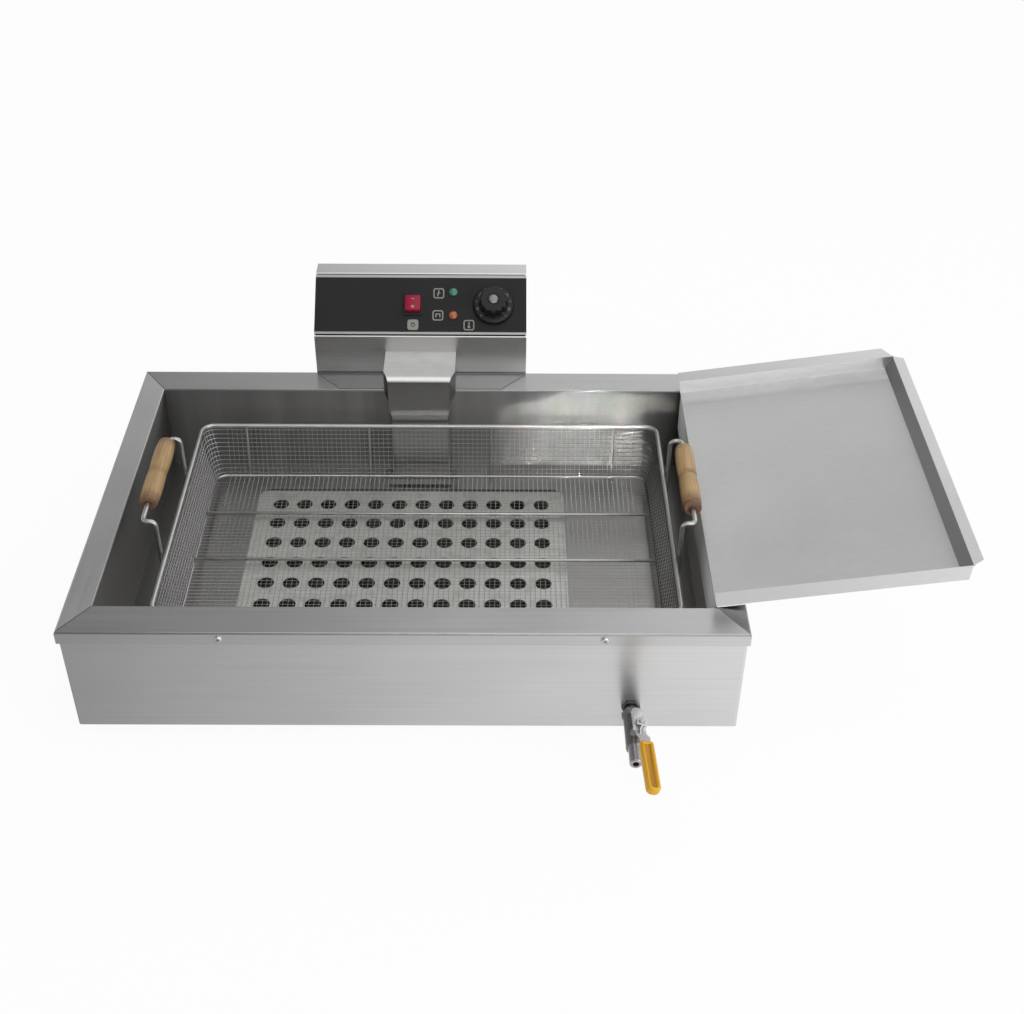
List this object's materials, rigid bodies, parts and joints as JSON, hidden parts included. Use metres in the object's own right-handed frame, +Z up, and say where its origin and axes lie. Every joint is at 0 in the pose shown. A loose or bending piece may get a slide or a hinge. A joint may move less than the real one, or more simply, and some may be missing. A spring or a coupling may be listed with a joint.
{
  "type": "electric deep fryer",
  "caption": "Countertop electric fryer with a rectangular oil tank, rear control head, wire basket, side drain board and front drain valve.",
  "frame": {"origin": "on the counter below the middle of the rim, in the plane of the feet", "axes": "+X to the right along the long side, +Y to the back where the control head is, +Z up"},
  "size_m": [0.8046, 0.6223, 0.2219],
  "materials": {
    "stainless": "brushed stainless steel sheet",
    "zinc_steel": "zinc plated steel",
    "bright_fixings": "bright plated",
    "dark_pipe": "darkened steel",
    "valve_metal": "dull nickel plate",
    "seat_polymer": "white seat ring",
    "yellow_sleeve": "dipped plastic",
    "rubber": "moulded",
    "black_panel": "printed sheet",
    "black_plastic": "moulded",
    "red_plastic": "translucent red",
    "green_lens": "translucent lens",
    "orange_lens": "translucent lens",
    "thermostat_case": "moulded",
    "heater_sheath": "oxidised alloy tube",
    "ceramic": "glazed",
    "copper": "drawn copper",
    "basket_wire": "plated wire",
    "basket_mesh": "plated wire",
    "wood": "turned and oiled"
  },
  "bodies": {
    "fryer": {"outer_casing": "stainless", "base_plate": "zinc_steel", "rubber_feet": "rubber", "foot_screws": "bright_fixings", "oil_tank": "stainless", "rim_screws": "bright_fixings", "drain_nipple": "dark_pipe", "nipple_nut": "bright_fixings", "valve_body": "valve_metal", "valve_outlet": "dark_pipe", "valve_seats": "seat_polymer", "packing_nut": "bright_fixings", "head_shell": "stainless", "back_cover": "stainless", "back_cover_screws": "bright_fixings", "cable_gland": "black_plastic", "panel_tray": "stainless", "fascia": "black_panel", "rocker_housing": "black_plastic", "green_lamp": "green_lens", "orange_lamp": "orange_lens", "thermostat_body": "thermostat_case", "contactor": "black_plastic", "high_limit_thermostat": "thermostat_case", "terminal_block": "black_plastic", "riser_bridge": "stainless", "element_shroud": "stainless", "heating_element": "heater_sheath", "element_clamp": "zinc_steel", "element_terminals": "ceramic", "element_rests": "stainless", "thermostat_bulb": "copper", "bulb_clip": "zinc_steel", "element_cover": "stainless"},
    "drain_lever": {"valve_ball": "bright_fixings", "valve_stem": "bright_fixings", "valve_lever": "bright_fixings", "lever_nut": "bright_fixings", "lever_sleeve": "yellow_sleeve"},
    "rocker": {"rocker_button": "red_plastic"},
    "knob": {"thermostat_spindle": "bright_fixings", "thermostat_knob": "black_plastic", "knob_cap": "bright_fixings"},
    "basket": {"basket_rim_wire": "basket_wire", "basket_bottom_wire": "basket_wire", "basket_floor_net": "basket_mesh", "basket_front_net": "basket_mesh", "basket_rear_net": "basket_mesh", "basket_left_net": "basket_mesh", "basket_right_net": "basket_mesh", "basket_floor_bars": "basket_wire", "basket_ribs": "basket_wire", "left_handle_wire": "basket_wire", "right_handle_wire": "basket_wire"},
    "left_grip": {"left_grip": "wood"},
    "right_grip": {"right_grip": "wood"},
    "drain_board": {"drain_board": "stainless", "board_bracket": "stainless"}
  },
  "joints": [
    {"name": "valve_lever_turn", "type": "hinge", "parent": "fryer", "child": "drain_lever", "pos_m": [0.2016, -0.2458, 0.038], "axis": [0.2419, 0, 0.9703], "range_deg": [-90, 0]},
    {"name": "rocker_tip", "type": "hinge", "parent": "fryer", "child": "rocker", "pos_m": [-0.0114, 0.22926, 0.1999], "axis": [1, 0, 0], "range_deg": [0, 18]},
    {"name": "thermostat_turn", "type": "hinge", "parent": "fryer", "child": "knob", "pos_m": [0.0747, 0.22953, 0.19803], "axis": [0, -0.6428, 0.766], "range_deg": [-280, 0]},
    {"name": "basket_lift", "type": "slide", "parent": "fryer", "child": "basket", "axis": [0, 0, 1], "range_m": [0, 0.16]},
    {"name": "left_grip_spin", "type": "hinge", "parent": "basket", "child": "left_grip", "pos_m": [-0.2486, 0.002, 0.143], "axis": [0, 1, 0], "continuous": true},
    {"name": "right_grip_spin", "type": "hinge", "parent": "basket", "child": "right_grip", "pos_m": [0.2646, -0.004, 0.143], "axis": [0, 1, 0], "continuous": true},
    {"name": "drain_board_lift", "type": "slide", "parent": "fryer", "child": "drain_board", "axis": [0, 0, 1], "range_m": [0, 0.08]}
  ]
}
